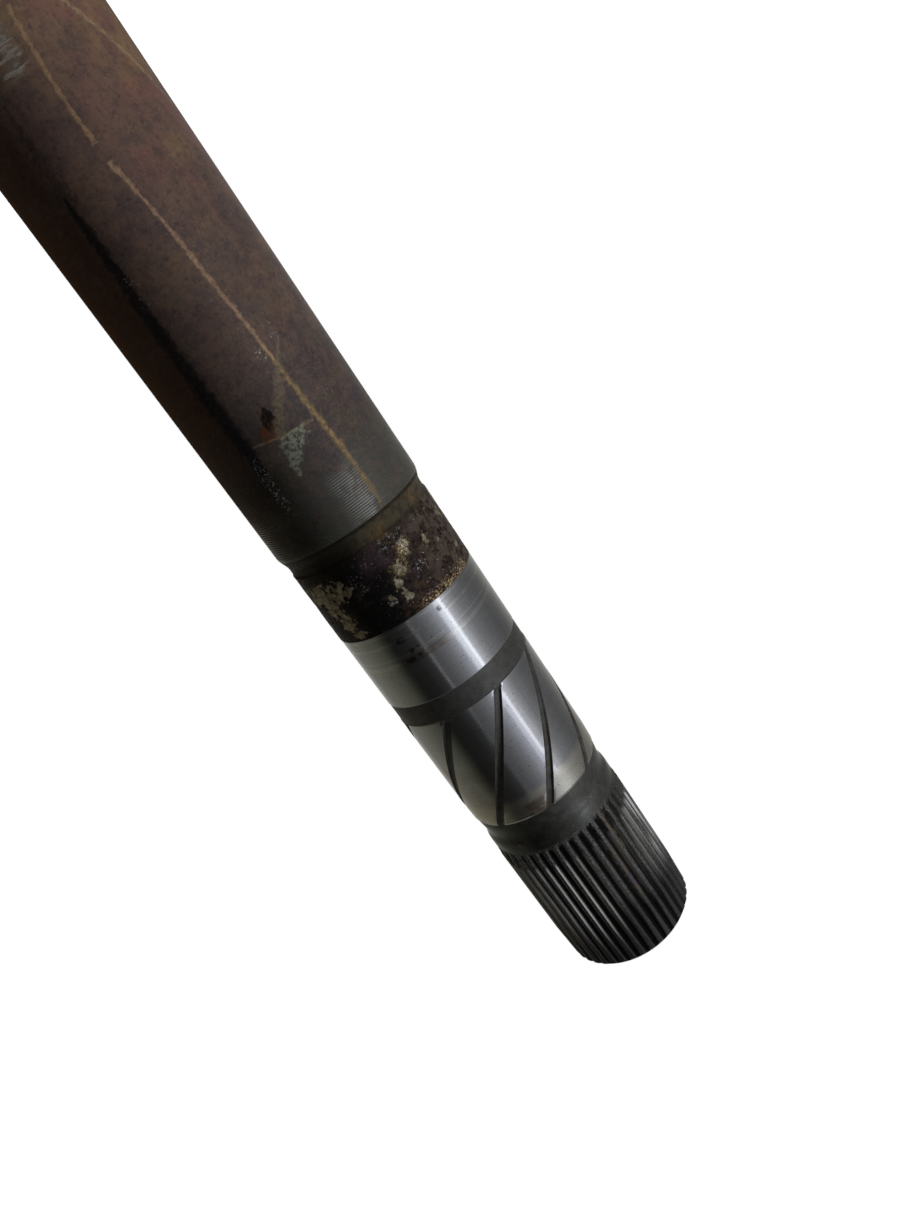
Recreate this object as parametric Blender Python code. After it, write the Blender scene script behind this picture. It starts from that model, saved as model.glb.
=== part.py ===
# Axle shaft: a splined and grooved end at the top, a plain splined end to stand on.
# The shaft is one turned piece, so it is built as one closed skin of rings joined up its length.
import math

import bmesh
import bpy

# Lengths and diameters are in metres and angles in degrees.
overall_length = 0.600
body_diameter = 0.0533

# Involute spline, the same teeth at both ends.
tooth_count = 39
tooth_module = 0.00127
pressure_angle = 30.0
tooth_thickness_share = 0.5
root_depth_modules = 0.9
tip_height_modules = 0.5
full_tooth_length = 0.0556
spline_turn = -93.6

# The end of the teeth. The chamfer reaches just below the roots, then the crests taper up to full height.
end_chamfer_length = 0.0015
face_below_root = 0.00012
lead_taper_length = 0.0145
lead_taper_depth = 0.0006

# Run-out of the tooth spaces, where the round cutter leaves the work.
runout_length = 0.0038
crest_relief_depth = 0.00035

# Neck between the upper teeth and the grooved journal.
neck_blend_length = 0.0009
neck_land_length = 0.0038
neck_entry_length = 0.0036
neck_exit_length = 0.0071
neck_recess_depth = 0.00075

# Ground journals, with a low dark band between them.
journal_diameter = 0.0512
grooved_journal_length = 0.0463
journal_lead_length = 0.0073
journal_lead_depth = 0.0003
journal_edge_length = 0.0007
band_length = 0.0084
band_depth = 0.00022
band_edge_length = 0.00025
band_blend_length = 0.0003
seal_journal_length = 0.0275

# Right-hand oil grooves round the grooved journal.
groove_count = 8
groove_width = 0.0026
groove_floor_width = 0.0016
groove_depth = 0.0007
groove_turn_length = 0.263
groove_ramp_length = 0.0016
groove_turn_at_band = -106.5

# Zone left unground, and the shoulder up to the body.
unground_length = 0.0262
unground_height = 0.00006
unground_edge_length = 0.0002
undercut_edge_length = 0.0008
undercut_floor_length = 0.0018
undercut_depth = 0.00036
shoulder_length = 0.0056

# Plain lower end.
lower_neck_length = 0.016
lower_neck_depth = 0.0004
lower_shoulder_length = 0.004

# Centre hole in each end face.
centre_diameter = 0.016
pilot_diameter = 0.0063
pilot_length = 0.012
centre_angle = 60.0
drill_point_angle = 118.0

# Fineness of the skin.
turned_sides = 64
centre_sides = 24
land_sides = 7
groove_steps = 12
curve_steps = 3
sharp_edge_angle = 25.0

# Dark oxide left by the heat treatment, as red, green and blue.
steel_color = (0.10, 0.09, 0.085)


def pitch_radius():
    return tooth_count * tooth_module / 2


def tip_radius():
    return pitch_radius() + tip_height_modules * tooth_module


def root_radius():
    return pitch_radius() - root_depth_modules * tooth_module


def involute(angle):
    return math.tan(angle) - angle


def half_tooth_angle(radius):
    # Half the angle that a tooth spans at this radius, from the involute of its base circle.
    base = pitch_radius() * math.cos(math.radians(pressure_angle))
    at_radius = math.acos(min(1.0, base / radius))
    half_at_pitch = math.pi * tooth_thickness_share / tooth_count
    return half_at_pitch + involute(math.radians(pressure_angle)) - involute(at_radius)


def turned_ring(height, radius, sides=turned_sides):
    turns = [2 * math.pi * i / sides for i in range(sides)]
    return [(turn, radius, height) for turn in turns]


def tooth_ring(radii, height_at):
    # Points up one flank of every tooth and down the other, at these radii from root to crest.
    ring = []
    for tooth in range(tooth_count):
        middle = math.radians(spline_turn) + 2 * math.pi * (tooth + 0.5) / tooth_count
        for radius in radii:
            ring.append((middle - half_tooth_angle(radius), radius, height_at(radius)))
        for radius in reversed(radii):
            ring.append((middle + half_tooth_angle(radius), radius, height_at(radius)))
    return ring


def spline_ring(height, crest, floor):
    return tooth_ring([floor, (crest + floor) / 2, crest], lambda radius: height)


def groove_ring(height, land, floor, band_height):
    # Each groove is cut square to its helix, so it is wider round the shaft than across itself.
    round_length = math.pi * journal_diameter
    stretch = math.hypot(round_length, groove_turn_length) / groove_turn_length
    half_top = groove_width * stretch / journal_diameter
    half_floor = groove_floor_width * stretch / journal_diameter
    climbed = 2 * math.pi * (height - band_height) / groove_turn_length
    pitch = 2 * math.pi / groove_count
    ring = []
    for groove in range(groove_count):
        middle = math.radians(groove_turn_at_band) + climbed + groove * pitch
        ring.append((middle - half_floor, floor, height))
        ring.append((middle + half_floor, floor, height))
        land_angle = pitch - 2 * half_top
        for side in range(land_sides + 1):
            ring.append((middle + half_top + land_angle * side / land_sides, land, height))
    return ring


def eased(start, way, length, low, high):
    # Heights and radii of a smooth curve that leaves and arrives level. It climbs where way is 1.
    points = []
    for step in range(1, curve_steps + 2):
        share = step / (curve_steps + 1)
        blend = (1 - math.cos(math.pi * share)) / 2
        points.append((start + way * share * length, low + (high - low) * blend))
    return points


def runout_floor(travelled, land):
    # Radius of a tooth space's floor once the round cutter has begun to lift out of it.
    depth = land - root_radius()
    cutter = (runout_length * runout_length + depth * depth) / (2 * depth)
    return root_radius() + cutter - math.sqrt(cutter * cutter - travelled * travelled)


def centre_hole_rings(face, inward):
    # From the bottom of the pilot drilling out to the end face. Inward is 1 where that way is up.
    half = math.radians(centre_angle / 2)
    cone = (centre_diameter - pilot_diameter) / 2 / math.tan(half)
    mouth = turned_ring(face, centre_diameter / 2, centre_sides)
    throat = turned_ring(face + inward * cone, pilot_diameter / 2, centre_sides)
    bottom = turned_ring(face + inward * (cone + pilot_length), pilot_diameter / 2, centre_sides)
    point = pilot_diameter / 2 / math.tan(math.radians(drill_point_angle / 2))
    tip = face + inward * (cone + pilot_length + point)
    return tip, [bottom, throat, mouth]


def chamfer_rings(face, inward):
    # The end face's edge, then the line where the chamfer's cone cuts the crests, flanks and roots.
    root = root_radius()
    small = root - face_below_root
    large = tip_radius() - lead_taper_depth
    slope = end_chamfer_length / (large - small)
    edge = turned_ring(face, small, 2 * tooth_count)
    on_cone = [root, (root + large) / 2, large]
    cut = tooth_ring(on_cone, lambda radius: face + inward * (radius - small) * slope)
    return [edge, cut]


def tooth_rings(face, inward):
    # From the end face in to the last of the tooth spaces.
    tip = tip_radius()
    root = root_radius()
    land = tip - crest_relief_depth
    taper_end = face + inward * (end_chamfer_length + lead_taper_length)
    runout_start = face + inward * full_tooth_length
    halfway = runout_start + inward * runout_length / 2
    rings = chamfer_rings(face, inward)
    rings.append(spline_ring(taper_end, tip, root))
    rings.append(spline_ring(runout_start, tip, root))
    rings.append(spline_ring(halfway, land, runout_floor(runout_length / 2, land)))
    rings.append(tooth_ring([land], lambda radius: runout_start + inward * runout_length))
    return rings


def lower_end_rings():
    rings = tooth_rings(0.0, 1)
    neck = tip_radius() - crest_relief_depth - lower_neck_depth
    height = full_tooth_length + runout_length
    rings.append(turned_ring(height + lower_neck_depth, neck))
    height += lower_neck_length
    rings.append(turned_ring(height, neck))
    for at, radius in eased(height, 1, lower_shoulder_length, neck, body_diameter / 2):
        rings.append(turned_ring(at, radius))
    return rings


def groove_floor_radius():
    return journal_diameter / 2 - groove_depth


def neck_rings(top):
    # From the last of the upper teeth down to the edge of the grooved journal.
    land = tip_radius() - crest_relief_depth
    low = land - neck_recess_depth
    rings = [turned_ring(top - neck_blend_length, land)]
    height = top - neck_land_length
    rings.append(turned_ring(height, land))
    for at, radius in eased(height, -1, neck_entry_length, land, low):
        rings.append(turned_ring(at, radius))
    height -= neck_entry_length
    exits = eased(height, -1, neck_exit_length, low, groove_floor_radius())
    for at, radius in exits[:-1]:
        rings.append(turned_ring(at, radius))
    return rings


def grooved_journal_rings(top):
    # From the neck down to the dark band, where each groove's floor rises to the band.
    radius = journal_diameter / 2
    edge = radius - journal_lead_depth
    band = radius - band_depth
    floor = groove_floor_radius()
    bottom = top - grooved_journal_length
    start = top - journal_lead_length
    ramp = bottom + groove_ramp_length
    rings = [groove_ring(top + journal_edge_length, floor, floor, bottom)]
    rings.append(groove_ring(top, edge, min(edge, floor), bottom))
    for step in range(groove_steps + 1):
        height = start + (ramp - start) * step / groove_steps
        rings.append(groove_ring(height, radius, floor, bottom))
    rings.append(groove_ring(bottom, radius, max(floor, band), bottom))
    rings.append(groove_ring(bottom - band_edge_length, band, band, bottom))
    return rings


def seal_end_rings(top):
    # From the dark band down past the seal journal and the unground zone to the body.
    radius = journal_diameter / 2
    band = radius - band_depth
    unground = radius + unground_height
    undercut = unground - undercut_depth
    height = top - band_length
    rings = [turned_ring(top - band_edge_length - band_blend_length, band)]
    rings.append(turned_ring(height + band_edge_length, band))
    rings.append(turned_ring(height, radius))
    height -= seal_journal_length
    rings.append(turned_ring(height, radius))
    rings.append(turned_ring(height - unground_edge_length, unground))
    height -= unground_length
    rings.append(turned_ring(height, unground))
    height -= undercut_edge_length
    rings.append(turned_ring(height, undercut))
    height -= undercut_floor_length
    rings.append(turned_ring(height, undercut))
    for at, size in eased(height, -1, shoulder_length, undercut, body_diameter / 2):
        rings.append(turned_ring(at, size))
    return rings


def upper_end_rings():
    teeth_end = overall_length - full_tooth_length - runout_length
    neck_length = neck_land_length + neck_entry_length + neck_exit_length
    journal_top = teeth_end - neck_length - journal_edge_length
    band_top = journal_top - grooved_journal_length
    rings = tooth_rings(overall_length, -1)
    rings += neck_rings(teeth_end)
    rings += grooved_journal_rings(journal_top)
    rings += seal_end_rings(band_top)
    return rings


def add_ring(skin, ring):
    corners = []
    for turn, radius, height in ring:
        place = (radius * math.cos(turn), radius * math.sin(turn), height)
        corners.append((turn, skin.verts.new(place)))
    return corners


def join_equal(skin, first, second):
    # Each four-sided piece is split across its shorter diagonal, which keeps helical faces round.
    for i in range(len(first)):
        a = first[i - 1][1]
        b = first[i][1]
        c = second[i][1]
        d = second[i - 1][1]
        if (a.co - c.co).length <= (b.co - d.co).length:
            skin.faces.new((a, b, c))
            skin.faces.new((a, c, d))
        else:
            skin.faces.new((a, b, d))
            skin.faces.new((b, c, d))


def join_unequal(skin, first, second):
    # Walks round both rings together and always steps on along the one that lags.
    full = 2 * math.pi
    origin = first[0][0]
    near = [(turn - origin + math.pi / len(second)) % full for turn, _ in second]
    begin = near.index(min(near))
    second = second[begin:] + second[:begin]
    first_turns = [turn - origin for turn, _ in first] + [full]
    start = near[begin] - math.pi / len(second)
    second_turns = [(turn - second[0][0]) % full + start for turn, _ in second] + [full + start]
    i = 0
    j = 0
    while i < len(first) or j < len(second):
        a = first[i % len(first)][1]
        d = second[j % len(second)][1]
        first_lags = j == len(second) or (i < len(first) and first_turns[i + 1] <= second_turns[j + 1])
        if first_lags:
            i += 1
            skin.faces.new((a, first[i % len(first)][1], d))
        else:
            j += 1
            skin.faces.new((a, second[j % len(second)][1], d))


def join_rings(skin, first, second):
    if len(first) == len(second):
        join_equal(skin, first, second)
    else:
        join_unequal(skin, first, second)


def close_point(skin, ring, height, opening):
    # Fan of faces from a ring to a point on the axis.
    point = skin.verts.new((0.0, 0.0, height))
    for i in range(len(ring)):
        a = ring[i - 1][1]
        b = ring[i][1]
        skin.faces.new((point, b, a) if opening else (a, b, point))


def shaft_skin():
    lower_tip, lower_hole = centre_hole_rings(0.0, 1)
    upper_tip, upper_hole = centre_hole_rings(overall_length, -1)
    rings = lower_hole + lower_end_rings() + upper_end_rings()[::-1] + upper_hole[::-1]
    skin = bmesh.new()
    placed = [add_ring(skin, ring) for ring in rings]
    close_point(skin, placed[0], lower_tip, True)
    for first, second in zip(placed, placed[1:]):
        join_rings(skin, first, second)
    close_point(skin, placed[-1], upper_tip, False)
    return skin


def shaft_material():
    material = bpy.data.materials.new("heat-treated steel")
    material.use_nodes = True
    shader = material.node_tree.nodes["Principled BSDF"]
    shader.inputs["Base Color"].default_value = (*steel_color, 1.0)
    shader.inputs["Metallic"].default_value = 1.0
    shader.inputs["Roughness"].default_value = 0.4
    return material


def build_shaft():
    skin = shaft_skin()
    mesh = bpy.data.meshes.new("axle_shaft")
    skin.to_mesh(mesh)
    skin.free()
    mesh.materials.append(shaft_material())
    for face in mesh.polygons:
        face.use_smooth = True
    mesh.set_sharp_from_angle(angle=math.radians(sharp_edge_angle))
    shaft = bpy.data.objects.new("axle_shaft", mesh)
    bpy.context.scene.collection.objects.link(shaft)
    return shaft


for leftover in list(bpy.data.objects):
    bpy.data.objects.remove(leftover, do_unlink=True)
build_shaft()
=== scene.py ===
import math

import bpy
import numpy as np
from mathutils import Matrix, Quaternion, Vector, noise


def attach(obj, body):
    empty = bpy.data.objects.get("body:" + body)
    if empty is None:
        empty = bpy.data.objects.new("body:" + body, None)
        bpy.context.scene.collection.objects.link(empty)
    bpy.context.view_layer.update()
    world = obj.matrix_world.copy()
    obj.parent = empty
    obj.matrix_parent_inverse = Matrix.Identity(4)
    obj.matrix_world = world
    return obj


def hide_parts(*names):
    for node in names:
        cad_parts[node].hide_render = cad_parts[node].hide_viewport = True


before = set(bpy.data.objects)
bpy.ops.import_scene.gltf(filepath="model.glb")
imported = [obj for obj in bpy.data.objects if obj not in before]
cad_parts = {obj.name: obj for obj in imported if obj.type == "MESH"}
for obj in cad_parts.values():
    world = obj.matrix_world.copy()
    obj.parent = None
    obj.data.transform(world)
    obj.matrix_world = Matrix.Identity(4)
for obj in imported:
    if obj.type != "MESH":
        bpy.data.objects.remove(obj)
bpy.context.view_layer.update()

mm = 0.001
fullTurn = 2 * math.pi


# Sizes in millimetres and degrees, the same as the solid's. The upper end is measured down from its face.
shaft = dict(
    length=600,
    bodyRadius=26.65,
    journalRadius=25.6,
    leadDepth=0.3,
    bandDepth=0.22,
    ungroundHeight=0.06,
    undercutDepth=0.36,
    recessDepth=0.75,
    lowerNeckDepth=0.4,
    landEnd=63.2,
    recessEnd=66.8,
    journalTop=74.6,
    leadEnd=81.9,
    bandTop=120.9,
    bandEnd=129.3,
    ungroundTop=156.8,
    ungroundEnd=183,
    undercutStart=183.8,
    undercutEnd=185.6,
    shoulderEnd=191.2,
    turnedEnd=213,
    lowerNeckEnd=75.4,
    lowerShoulder=4,
    turnedSides=240,
    shoulderSides=320,
    sharpAngle=32,
)

teeth = dict(
    count=39,
    module=1.27,
    pressureAngle=30,
    thicknessShare=0.5,
    tipHeight=0.5,
    rootDepth=0.9,
    turn=-93.6,
    fullLength=55.6,
    runout=3.8,
    chamfer=1.5,
    faceBelowRoot=0.12,
    taper=14.5,
    taperDepth=0.6,
    crestRelief=0.35,
    lastStep=0.05,
    rootFillet=0.22,
    # The worn corner of a crest: how far in from the flank and how far down from the crest each point is.
    corner=[(-0.02, 0.105), (0.14, 0.025), (0.38, 0)],
    cornerDepth=0.22,
    flankPoints=5,
    runoutSteps=6,
    straightSteps=4,
)

groove = dict(
    count=8,
    turnLength=263,
    turnAtBand=-106.5,
    ramp=1.6,
    depth=0.7,
    # Distances from the groove's middle, square to its helix, and the share of the depth there.
    profile=[(1.42, 0), (1.3, 0.13), (0.95, 0.75), (0.8, 0.94), (0.62, 1), (0, 1)],
    landSides=16,
    steps=44,
)

# The centre holes. Each edge is eased over a step along the hole and a step out from its axis.
hole = dict(
    mouth=8,
    pilot=3.15,
    pilotLength=12,
    coneAngle=60,
    drillAngle=118,
    pilotEdge=(0.15, 0.1),
    mouthEdge=(0.2, 0.08),
    mouthBreak=0.15,
    sides=96,
)

relief = dict(
    sides=400,
    rings=60,
    pitSize=1.3,
    pitDepth=0.1,
    lumpSize=3.6,
    lumpHeight=0.08,
    flakeHeight=0.09,
    seed=11,
    frontEdge=34,
    # Where scale has come off: down from the grooved end, round from the front, half the height and width.
    flakes=[
        (177.4, -9.2, 1.5, 1.5),
        (174.9, -7.4, 1.6, 1.5),
        (173.4, -15.9, 1.9, 1.1),
        (171.4, -3.6, 2.8, 2.2),
        (167.6, -0.6, 2.6, 1.6),
        (163, -1, 2.6, 2),
        (165.7, 3.6, 1.3, 1.2),
        (174.8, 17.2, 3.6, 5),
        (174.8, 25.4, 5.2, 9.6),
        (169.6, 23.6, 5.4, 5),
        (164.4, 22.4, 4.8, 3.6),
        (159.2, 20.8, 1.9, 3),
        (170.3, -20.6, 1, 0.7),
        (175.6, -30.2, 1.8, 2.4),
        (163.9, -28, 1.2, 2.2),
    ],
)


def turnedRing(height, radius, sides=None):
    turns = np.linspace(0, fullTurn, sides or shaft["turnedSides"], endpoint=False)
    return turns, np.full(len(turns), float(radius)), np.full(len(turns), float(height))


def easedRings(start, end, low, high, steps, sides=None):
    # A smooth curve that leaves and arrives level.
    rings = []
    for share in np.linspace(0, 1, steps + 1)[1:]:
        blend = (1 - math.cos(math.pi * share)) / 2
        rings.append(turnedRing(start + (end - start) * share, low + (high - low) * blend, sides))
    return rings


def involute(angle):
    return math.tan(angle) - angle


def halfTooth(radius):
    pitchRadius = teeth["count"] * teeth["module"] / 2
    pressure = math.radians(teeth["pressureAngle"])
    atRadius = math.acos(min(1.0, pitchRadius * math.cos(pressure) / radius))
    return math.pi * teeth["thicknessShare"] / teeth["count"] + involute(pressure) - involute(atRadius)


def tipRadius():
    return teeth["module"] * (teeth["count"] / 2 + teeth["tipHeight"])


def rootRadius():
    return teeth["module"] * (teeth["count"] / 2 - teeth["rootDepth"])


def toothRing(crest, floor, heightAt):
    # Every tooth in turn: half a space, a fillet, an involute flank, a rounded corner, and the same mirrored.
    fillet = min(teeth["rootFillet"], (crest - floor) * 0.25)
    worn = min(1.0, (crest - floor) * 0.2 / teeth["cornerDepth"])
    half = [(halfTooth(floor) + fillet * 0.8 / floor, floor)]
    half.append((halfTooth(floor + fillet * 0.25) + fillet * 0.25 / floor, floor + fillet * 0.25))
    for radius in np.linspace(floor + fillet, crest - worn * teeth["cornerDepth"], teeth["flankPoints"]):
        half.append((halfTooth(radius), radius))
    for inward, below in teeth["corner"]:
        half.append((halfTooth(crest) - worn * inward / crest, crest - worn * below))
    outline = [(-math.pi / teeth["count"], floor)]
    outline += [(-turn, radius) for turn, radius in half]
    outline += [(0.0, crest)]
    outline += [(turn, radius) for turn, radius in reversed(half)]
    turns = []
    radii = []
    for tooth in range(teeth["count"]):
        middle = math.radians(teeth["turn"]) + fullTurn * (tooth + 0.5) / teeth["count"]
        turns += [middle + turn for turn, _ in outline]
        radii += [radius for _, radius in outline]
    heights = [heightAt(radius) for radius in radii]
    return np.array(turns), np.array(radii), np.array(heights)


def toothedRings(face, inward):
    # From the end face in to the last of the tooth spaces.
    tip = tipRadius()
    root = rootRadius()
    land = tip - teeth["crestRelief"]
    small = root - teeth["faceBelowRoot"]
    large = tip - teeth["taperDepth"]
    slope = teeth["chamfer"] / (large - small)
    rings = [turnedRing(face, small, teeth["count"] * 6)]
    rings.append(toothRing(large, root, lambda radius: face + inward * (radius - small) * slope))
    taperEnd = teeth["chamfer"] + teeth["taper"]
    for at in np.linspace(teeth["chamfer"] + 0.2, taperEnd, 4):
        crest = large + (tip - large) * (at - teeth["chamfer"]) / teeth["taper"]
        rings.append(toothRing(crest, root, lambda radius: face + inward * at))
    for at in np.linspace(taperEnd, teeth["fullLength"], teeth["straightSteps"] + 1)[1:]:
        rings.append(toothRing(tip, root, lambda radius: face + inward * at))
    depth = land - root
    cutter = (teeth["runout"] ** 2 + depth ** 2) / (2 * depth)
    for step in range(1, teeth["runoutSteps"] + 1):
        share = step / teeth["runoutSteps"]
        travelled = teeth["runout"] * share
        floor = root + cutter - math.sqrt(cutter ** 2 - travelled ** 2)
        crest = tip - teeth["crestRelief"] * min(1.0, share * 2)
        at = teeth["fullLength"] + travelled
        floor = min(floor, crest - teeth["lastStep"])
        rings.append(toothRing(crest, floor, lambda radius: face + inward * at))
    return rings


def holeRings(face, inward):
    # From the bottom of the pilot drilling out to the end face.
    cone = (hole["mouth"] - hole["pilot"]) / math.tan(math.radians(hole["coneAngle"] / 2))
    point = hole["pilot"] / math.tan(math.radians(hole["drillAngle"] / 2))
    bottom = cone + hole["pilotLength"]
    tip = face + inward * (bottom + point)
    rings = []
    ease, rise = hole["pilotEdge"]
    below, inside = hole["mouthEdge"]
    for at, radius in (
        (bottom, hole["pilot"]),
        (bottom - hole["pilotLength"] / 2, hole["pilot"]),
        (cone + ease, hole["pilot"]),
        (cone - ease, hole["pilot"] + rise),
        (cone / 2, (hole["pilot"] + hole["mouth"]) / 2),
        (below, hole["mouth"] - inside),
        (0.0, hole["mouth"] + hole["mouthBreak"]),
    ):
        rings.append(turnedRing(face + inward * at, radius, hole["sides"]))
    return tip, rings


def grooveRing(down, land, floor):
    # The grooves are cut square to their helix, so they are wider round the shaft than across themselves.
    roundLength = fullTurn * shaft["journalRadius"]
    stretch = math.hypot(roundLength, groove["turnLength"]) / groove["turnLength"]
    climbed = fullTurn * (shaft["bandTop"] - down) / groove["turnLength"]
    pitch = fullTurn / groove["count"]
    across = [(-offset, share) for offset, share in groove["profile"]]
    across += [(offset, share) for offset, share in reversed(groove["profile"][:-1])]
    edge = groove["profile"][0][0] * stretch / shaft["journalRadius"]
    turns = []
    radii = []
    for number in range(groove["count"]):
        middle = math.radians(groove["turnAtBand"]) + climbed + number * pitch
        for offset, share in across:
            turns.append(middle + offset * stretch / shaft["journalRadius"])
            radii.append(land + (floor - land) * share)
        for side in range(1, groove["landSides"]):
            turns.append(middle + edge + (pitch - 2 * edge) * side / groove["landSides"])
            radii.append(land)
    heights = np.full(len(turns), shaft["length"] - down)
    return np.array(turns), np.array(radii), heights


def groovedRings():
    # From the neck down to the dark band, where each groove's floor rises to the band. Here and further on,
    # rings a fraction of a millimetre to either side of an edge ease it and keep its shading crisp.
    radius = shaft["journalRadius"]
    edge = radius - shaft["leadDepth"]
    band = radius - shaft["bandDepth"]
    floor = radius - groove["depth"]
    top = shaft["journalTop"]
    bottom = shaft["bandTop"]
    rampTop = bottom - groove["ramp"]
    rings = [grooveRing(top - 0.7, floor + 0.01, floor)]
    rings.append(grooveRing(top - 0.12, edge - 0.2, floor))
    rings.append(grooveRing(top + 0.08, edge, floor))
    for down in np.linspace(top, shaft["leadEnd"], 6)[1:-1]:
        land = edge + shaft["leadDepth"] * (down - top) / (shaft["leadEnd"] - top)
        rings.append(grooveRing(down, land, floor))
    for down in np.linspace(shaft["leadEnd"], rampTop, groove["steps"]):
        rings.append(grooveRing(down, radius, floor))
    for share in (0.35, 0.7, 0.93):
        risen = floor + (band - floor) * share ** 1.5
        rings.append(grooveRing(rampTop + groove["ramp"] * share, radius, risen))
    rings.append(grooveRing(bottom + 0.06, radius - 0.04, band))
    rings.append(grooveRing(bottom + 0.25, band + 0.004, band))
    return rings


def sealJournalRings():
    # From the dark band down the plain journal to where the grinding stops, with rings that a seal has worn.
    length = shaft["length"]
    radius = shaft["journalRadius"]
    band = radius - shaft["bandDepth"]
    rings = [turnedRing(length - shaft["bandTop"] - 0.6, band)]
    rings.append(turnedRing(length - shaft["bandEnd"] + 0.25, band))
    rings.append(turnedRing(length - shaft["bandEnd"] + 0.06, radius - 0.05))
    rings.append(turnedRing(length - shaft["bandEnd"] - 0.06, radius))
    rings.append(turnedRing(length - shaft["bandEnd"] - 0.2, radius))
    for down, wide, deep in sealJournal["wornRings"]:
        for offset, share in ((-0.56, 0.0), (-0.5, 0.0), (-0.35, 1.0), (0.35, 1.0), (0.5, 0.0), (0.56, 0.0)):
            rings.append(turnedRing(length - down - offset * wide, radius - deep * share))
    rings.append(turnedRing(length - shaft["ungroundTop"] + 0.15, radius))
    rings.append(turnedRing(length - shaft["ungroundTop"], radius))
    return rings


# Rings that a seal's lip has worn: down from the grooved end, how wide and how deep, in millimetres.
sealJournal = dict(
    wornRings=[(144.7, 1.5, 0.02), (147.2, 0.6, 0.01), (152.3, 1, 0.025), (155.9, 0.7, 0.01)],
)


def surfaceNoise(turn, down, size, seed):
    # Smooth noise of about one size over the outside, with no seam behind.
    radius = shaft["journalRadius"]
    place = Vector((radius * math.cos(turn), radius * math.sin(turn), down))
    return noise.noise(place / size + Vector((seed, 0, 0)))


def aroundFrom(turn):
    # Millimetres round the shaft from its front, which faces -Y.
    wrapped = (turn + math.pi / 2 + math.pi) % fullTurn - math.pi
    return wrapped * shaft["journalRadius"]


def flaked(turn, down):
    # How much of the old scale has come off here, from 0 to 1, in ragged patches.
    around = aroundFrom(turn)
    ragged = surfaceNoise(turn, down, relief["lumpSize"] * 0.5, relief["seed"])
    fine = surfaceNoise(turn, down, relief["pitSize"] * 0.7, relief["seed"] + 3)
    torn = 0.7 * ragged + 0.5 * fine
    nearest = min(
        math.hypot((down - middle) / halfHeight, (around - side) / halfWidth)
        for middle, side, halfHeight, halfWidth in relief["flakes"]
    )
    share = (1.05 - nearest + torn) * 2.5
    if abs(around) > relief["frontEdge"]:
        share = (surfaceNoise(turn, down, relief["lumpSize"], relief["seed"] + 5) + 0.4 * fine - 0.16) * 5
    return min(1.0, max(0.0, share))


def ungroundRings():
    # The band that was left rough: lumps of scale, pits and flaked places, as real relief.
    top = shaft["ungroundTop"]
    bottom = shaft["ungroundEnd"]
    base = shaft["journalRadius"] + shaft["ungroundHeight"]
    rings = []
    for down in np.linspace(top + 0.2, bottom, relief["rings"]):
        turns, radii, heights = turnedRing(shaft["length"] - down, base, relief["sides"])
        fade = min(1.0, (down - top) / 1.0, (bottom - down + 0.4) / 1.5)
        for i, turn in enumerate(turns):
            lump = surfaceNoise(turn, down, relief["lumpSize"], relief["seed"] + 7)
            pit = max(0.0, -surfaceNoise(turn, down, relief["pitSize"], relief["seed"] + 9) - 0.1)
            lift = relief["lumpHeight"] * lump - relief["pitDepth"] * 2.2 * pit
            lift -= relief["flakeHeight"] * flaked(turn, down)
            radii[i] += fade * min(lift, 0.05)
        rings.append((turns, radii, heights))
    return rings


def shoulderRings():
    length = shaft["length"]
    unground = shaft["journalRadius"] + shaft["ungroundHeight"]
    undercut = unground - shaft["undercutDepth"]
    sides = shaft["shoulderSides"]
    top = length - shaft["undercutStart"]
    start = length - shaft["undercutEnd"]
    end = length - shaft["shoulderEnd"]
    rings = easedRings(length - shaft["ungroundEnd"], top, unground, undercut, 3, sides)
    rings.append(turnedRing(length - (shaft["undercutStart"] + shaft["undercutEnd"]) / 2, undercut, sides))
    rings.append(turnedRing(start, undercut, sides))
    rings += easedRings(start, end, undercut, shaft["bodyRadius"], 12, sides)
    return rings


def bodyRings():
    length = shaft["length"]
    radius = shaft["bodyRadius"]
    rings = []
    for down in np.linspace(shaft["shoulderEnd"], shaft["turnedEnd"], 12)[1:]:
        rings.append(turnedRing(length - down, radius))
    lowerEnd = shaft["lowerNeckEnd"] + shaft["lowerShoulder"]
    for height in np.linspace(length - shaft["turnedEnd"], lowerEnd, 30)[1:]:
        rings.append(turnedRing(height, radius))
    return rings


def neckRings():
    # From the last of the upper teeth down to the edge of the grooved journal.
    length = shaft["length"]
    land = tipRadius() - teeth["crestRelief"]
    low = land - shaft["recessDepth"]
    floor = shaft["journalRadius"] - groove["depth"]
    teethEnd = teeth["fullLength"] + teeth["runout"]
    rings = [turnedRing(length - teethEnd - 0.9, land)]
    rings.append(turnedRing(length - shaft["landEnd"] + 0.25, land))
    rings.append(turnedRing(length - shaft["landEnd"] - 0.1, land - 0.03))
    rings += easedRings(length - shaft["landEnd"], length - shaft["recessEnd"], land, low, 9)[1:]
    rings += easedRings(length - shaft["recessEnd"], length - shaft["journalTop"] + 0.7, low, floor, 12)[:-1]
    return rings


def lowerNeckRings():
    land = tipRadius() - teeth["crestRelief"]
    neck = land - shaft["lowerNeckDepth"]
    teethEnd = teeth["fullLength"] + teeth["runout"]
    rings = [turnedRing(teethEnd + 0.1, land - 0.04), turnedRing(teethEnd + shaft["lowerNeckDepth"], neck)]
    for height in np.linspace(teethEnd + 2, shaft["lowerNeckEnd"], 5):
        rings.append(turnedRing(height, neck))
    bodyStart = shaft["lowerNeckEnd"] + shaft["lowerShoulder"]
    rings += easedRings(shaft["lowerNeckEnd"], bodyStart, neck, shaft["bodyRadius"], 10)
    return rings


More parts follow.
